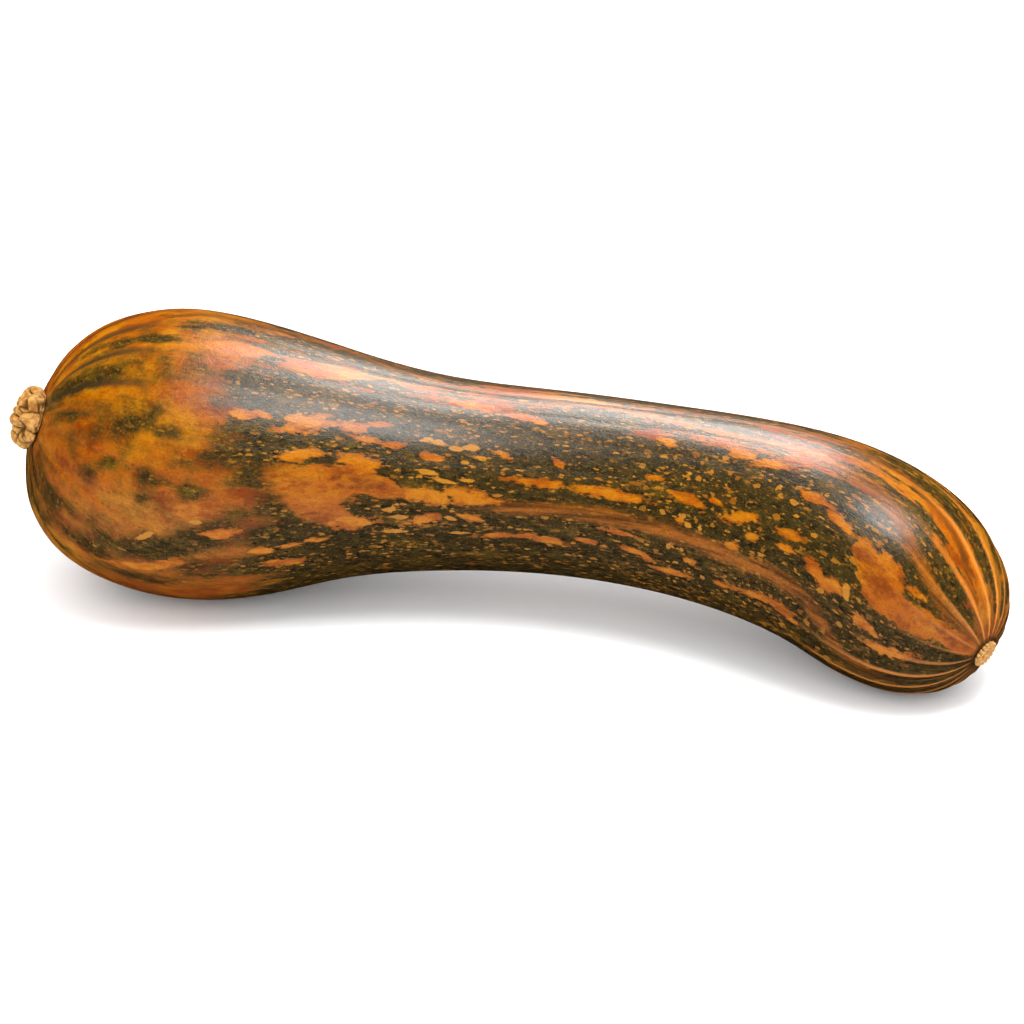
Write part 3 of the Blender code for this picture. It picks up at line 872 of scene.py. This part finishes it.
def turned(profile, rings, sides):
    """Rows of (height, radius) spaced evenly on the profile's curve, and the angle of each point."""
    knots = chord_lengths(profile)
    rows = natural_spline(knots, profile, np.linspace(0, knots[-1], rings))
    return rows, np.linspace(0, 2 * math.pi, sides, endpoint=False)[None, :] + 0 * rows[:, :1]


def scar_piece(name, rings, under, crown, crease, folds):
    """A closed mesh with how deep its creases and folds are at each point, for their painted shade."""
    piece = skin_over(name, rings, under, crown)
    write_attribute(piece, "crease", crease)
    write_attribute(piece, "folds", folds)
    return piece


def winding(places, scale, turns):
    """Fine folds: 1 - |sin| of a plane wave that is bent by two other waves, at places / scale."""
    x, y, z = np.moveaxis(places / scale, -1, 0)
    bent = x + 1.3 * np.sin(1.7 * y + turns) + 1.1 * np.sin(1.9 * z + 0.6 * x + 2 * turns)
    return 1 - np.abs(np.sin(bent + y - z))


# %% The knob's own shapes
def twisted(places):
    """Places + twist x sines of their neighbours over the twist's length, which makes lobes gnarled."""
    x, y, z = np.moveaxis(places / TWIST_LENGTH, -1, 0)
    bent = np.stack([np.sin(y + 1.3 * z), np.sin(1.2 * z - x + 1), np.sin(0.9 * x + y + 2)], -1)
    return places + TWIST * bent


def hollows_seen(places):
    """Depth x S curve of 1 - distance / size, round the place on the dome that each pixel shows."""
    x, y = seen_from_camera(places)
    deep = 0 * x
    for column, row, size, depth in HOLLOWS:
        near = np.unravel_index(np.hypot(x - column, y - row).argmin(), x.shape)
        gap = np.linalg.norm(places - places[near], axis=-1)
        deep = np.maximum(deep, depth * smooth(size, 0, gap))
    return deep


def cork(rings, sides):
    """Dome + lift along its slope: lobe height x (1 - (distance / size) ^ 2) - creases - folds - hollows."""
    centre, along, top, side = frames_along(np.array([0.0]))
    seat = (centre[0], -along[0], top[0], side[0])
    rows, angle = turned(CORK_PROFILE, rings, sides)
    dome = standing(*seat, rows[:, :1] + 0 * angle, rows[:, 1:] + 0 * angle, angle)
    lobes = np.array(LOBES, float)
    peaks = standing(*seat, lobes[:, 0], lobes[:, 1], np.radians(lobes[:, 2]))
    away = np.sort(np.linalg.norm(twisted(dome)[:, :, None] - peaks, axis=3) / lobes[:, 3], axis=2)
    crease = smooth(CREASE_WIDTH, 0, away[..., 1] - away[..., 0])
    folds = sum(share * winding(dome, spacing, turns) ** 2 for spacing, turns, share in CORK_FOLDS)
    hollow = hollows_seen(dome)
    lift = LOBE_HEIGHT * (1 - away[..., 0].clip(0, LOBE_REACH) ** 2)
    lift = lift - CREASE_DEPTH * crease - CORK_FOLD_HEIGHT * folds - hollow
    slope = np.gradient(rows, axis=0)
    slope = slope / np.linalg.norm(slope, axis=1)[:, None]
    free = (rows[:, :1] / FREE_HEIGHT).clip(0, 1)
    height = rows[:, :1] - slope[:, 1:] * lift * free
    across = rows[:, 1:] + slope[:, :1] * lift * (CORK_RIM_LIFT + (1 - CORK_RIM_LIFT) * free)
    rings = standing(*seat, height.clip(0), across, angle)
    crown = rings[-1].mean(axis=0) - CROWN_RISE * along[0]
    # The creases and the hollows' depth go on to the material as painted shade.
    return rings, centre[0] - GAP * along[0], crown, np.maximum(crease, hollow / HOLLOW_SHADE_DEPTH), folds


# %% The knob
CORK_RINGS, CORK_SIDES = 170, 300
knob = scar_piece("corky_knob", *cork(CORK_RINGS, CORK_SIDES))

# %% [markdown]
# The stalk scar, the small disc on the neck's end. It has a scalloped rim, one scallop for each bundle of
# the stalk that dried off, and a dished middle with a few holes where the bundles ran. A lathe shape with
# a displacement would do, but a formula keeps each hole where it is wanted.

# %% The disc's dimensions, in millimetres
# The turned profile, as (height above its seat, radius).
STALK_PROFILE = [(0, 6.6), (0.8, 7.5), (1.7, 7.4), (2.4, 6.3), (1.9, 4.3), (1.2, 2.1)]
SCALLOPS = 17
SCALLOP_DEPTH = 0.3
SCALLOP_RISE = 0.7
SCALLOP_ROUNDNESS = 0.7
SCALLOP_LEVEL = 0.6
# The holes, as (distance from the middle, degrees from the top, size).
HOLES = [(0.8, 40, 1.7), (2.5, 165, 1.3), (2.2, 280, 1.4), (4.2, 100, 0.9), (4.4, 330, 0.9)]
HOLE_DEPTH = 0.9
# The rough face: how deep, how far apart its folds are, and how they turn.
ROUGH_DEPTH = 0.45
ROUGH_SPACING = 0.9
ROUGH_TURN = 1.1


# %% The disc
def disc(rings, sides):
    """The turned profile x (1 + depth x rim x (|sin| ^ roundness - level)), with bowls for the holes."""
    centre, along, top, side = frames_along(np.array([1.0]))
    rows, angle = turned(STALK_PROFILE, rings, sides)
    scallop = np.abs(np.sin(SCALLOPS * angle / 2)) ** SCALLOP_ROUNDNESS - SCALLOP_LEVEL
    rim = (rows[:, 1:] / STALK_SEAT_RADIUS) ** 2
    across = rows[:, 1:] * (1 + SCALLOP_DEPTH * rim * scallop)
    flat = np.stack([across * np.cos(angle), across * np.sin(angle), 0 * angle], -1)
    rough = winding(flat, ROUGH_SPACING, ROUGH_TURN) ** 2 * smooth(0, 0.6, rows[:, :1])
    height = rows[:, :1] - ROUGH_DEPTH * rough
    height = height + SCALLOP_RISE * scallop * rim * smooth(1, 2, rows[:, :1])
    hole = 0 * angle
    for out, turn, size in HOLES:
        turn = math.radians(turn)
        gap = np.hypot(flat[..., 0] - out * math.cos(turn), flat[..., 1] - out * math.sin(turn))
        hole = np.maximum(hole, smooth(size, size * 0.3, gap) * smooth(1, 1.3, rows[:, :1]))
    height = (height - HOLE_DEPTH * hole).clip(0)
    rings = standing(centre[0], along[0], top[0], side[0], height, across, angle)
    # The holes and the notches between the scallops are handed on for painted shade.
    notch_shade = smooth(0.1, -0.5, scallop) * smooth(4.2, 6.6, rows[:, 1:])
    return rings, centre[0] + GAP * along[0], rings[-1].mean(axis=0), np.maximum(hole, notch_shade), rough


STALK_RINGS, STALK_SIDES = 70, 408
scar = scar_piece("scalloped_disc", *disc(STALK_RINGS, STALK_SIDES))


# %% [markdown]
# Dry cork. Both scars are the same dead, pale tissue, so one function makes both materials: pale tan on
# what stands out, painted shade that turns the folds and creases brown, fine grain and no shine to speak
# of. A wood texture would show rings that cork doesn't have, so it is clouds and fibres, in Object
# coordinates.

# %% Cork materials
def cork_material(name, pale_tone, middle_tone, dark_tone, scale):
    """Blotches of two tones, with painted shade: darker in the folds, darkest in the creases; with pits and
    fine fibres.
    """
    made, tree, surface = material(name)
    place = add(tree, "TexCoord").outputs["Object"]
    blotch = use(tree, clouds, {"Vector": place, "Scale": scale, "Detail": 5, "Contrast": 2.4})["Value"]
    grain = use(tree, fibres, {"Vector": place, "Scale": scale * 6, "Contrast": 2.0})["Value"]
    colour = blend(tree, ramp(tree, blotch, 0.1, 0.8), middle_tone, pale_tone)
    # Painted shade in the folds, mixed with the blotches' own tone.
    blotch_and_fold_shade = calc(tree, "SUBTRACT", blotch, 0.5)
    blotch_and_fold_shade = calc(tree, "MULTIPLY_ADD", blotch_and_fold_shade, 0.5, attribute(tree, "folds"))
    colour = blend(tree, calc(tree, "MULTIPLY", ramp(tree, blotch_and_fold_shade, 0.2, 0.95), 0.9), colour, dark_tone)
    # Painted shade in the creases, hollows, holes and notches that the crease field holds.
    crease = calc(tree, "MULTIPLY", ramp(tree, attribute(tree, "crease"), 0.2, 1.0), 0.85)
    colour = blend(tree, crease, colour, srgb(96, 58, 20))
    inputs = {"Vector": place, "Scale": scale * 2.2, "Size": 0.3, "Share": 0.4, "Soft": 0.12}
    pits = use(tree, flecks, inputs)["Mask"]
    colour = blend(tree, calc(tree, "MULTIPLY", pits, 0.55), colour, dark_tone)
    tree.links.new(colour, surface.inputs["Base Color"])
    tree.links.new(calc(tree, "MULTIPLY_ADD", blotch, 0.2, 0.45), surface.inputs["Roughness"])
    height = calc(tree, "MULTIPLY_ADD", grain, 0.5, calc(tree, "MULTIPLY", pits, -1.0))
    bump = add(tree, "Bump", {"Height": height, "Strength": 0.6, "Distance": 0.4 * MM})
    tree.links.new(bump.outputs["Normal"], surface.inputs["Normal"])
    return made


KNOB_TONES = srgb(196, 148, 78), srgb(150, 98, 36), srgb(94, 54, 16)
DISC_TONES = srgb(198, 150, 86), srgb(174, 122, 58), srgb(112, 66, 24)
knob.data.materials.append(cork_material("corky_knob", *KNOB_TONES, scale=260))
scar.data.materials.append(cork_material("scalloped_disc", *DISC_TONES, scale=420))

# %% [markdown]
# Each piece stands for its solid and rides on the part's one body.

# %% Pieces on the frame
for piece, node, slot in (
    (squash, "fruit", "skin"), (knob, "blossom_scar", "cork"), (scar, "stalk_scar", "dry_stalk"),
):
    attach(piece, "root")
    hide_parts(node)

# %% [markdown]
# The studio. The picture has even light from all over above, a soft shadow close under the squash, and two
# soft sheens on the wax. One big lamp could give all three, but not each in its own strength. So a lamp
# as wide as the sky gives the light and the shadow, an overhead lamp adds the sheen on the neck's end, and
# a lamp behind gives only the sheen on the bulb's shoulder, as it is hidden from diffuse light. The sky
# lamp and the floor are hidden from the gloss, where they would lay a grey haze over the orange, and the
# white surround is seen only by the camera.

# %% Floor and surround
scene = bpy.context.scene
scene.view_settings.view_transform = "Standard"
bpy.ops.mesh.primitive_plane_add(size=14, location=(0, 0, -0.2 * MM))
floor = bpy.context.object
floor.name = "floor"
floor_paint, tree, surface = material("floor")
surface.inputs["Base Color"].default_value = (0.92, 0.92, 0.92, 1)
surface.inputs["Roughness"].default_value = 1
surface.inputs["Specular IOR Level"].default_value = 0
floor.data.materials.append(floor_paint)
floor.visible_glossy = False

surround = bpy.data.worlds.new("surround")
scene.world = surround
surround.use_nodes = True
background = surround.node_tree.nodes["Background"]
background.inputs["Color"].default_value = (1, 1, 1, 1)
background.inputs["Strength"].default_value = 1.15
surround.cycles_visibility.glossy = False
surround.cycles_visibility.diffuse = False


# %% Lamps
def softbox(name, place, aim, width, height, power):
    """A rectangular area lamp that faces a point."""
    lamp = bpy.data.objects.new(name, bpy.data.lights.new(name, "AREA"))
    scene.collection.objects.link(lamp)
    lamp.data.shape = "RECTANGLE"
    lamp.data.size = width
    lamp.data.size_y = height
    lamp.data.energy = power
    lamp.location = place
    toward = np.array(aim, float) - np.array(place, float)
    toward /= np.linalg.norm(toward)
    lamp.rotation_euler = (math.acos(-toward[2]), 0, math.atan2(-toward[0], toward[1]))
    return lamp


behind = softbox("behind", (0, 0.44, 0.6), (-0.05, 0, 0.13), 0.28, 0.46, 4.6)
behind.visible_diffuse = False
softbox("overhead", (0.4, -0.2, 1.3), (0.2, 0, 0.06), 0.5, 0.5, 12)

sky = bpy.data.objects.new("sky", bpy.data.lights.new("sky", "SUN"))
scene.collection.objects.link(sky)
sky.data.energy = 5.6
sky.data.angle = math.radians(178)
sky.data.cycles.use_multiple_importance_sampling = False
sky.visible_glossy = False
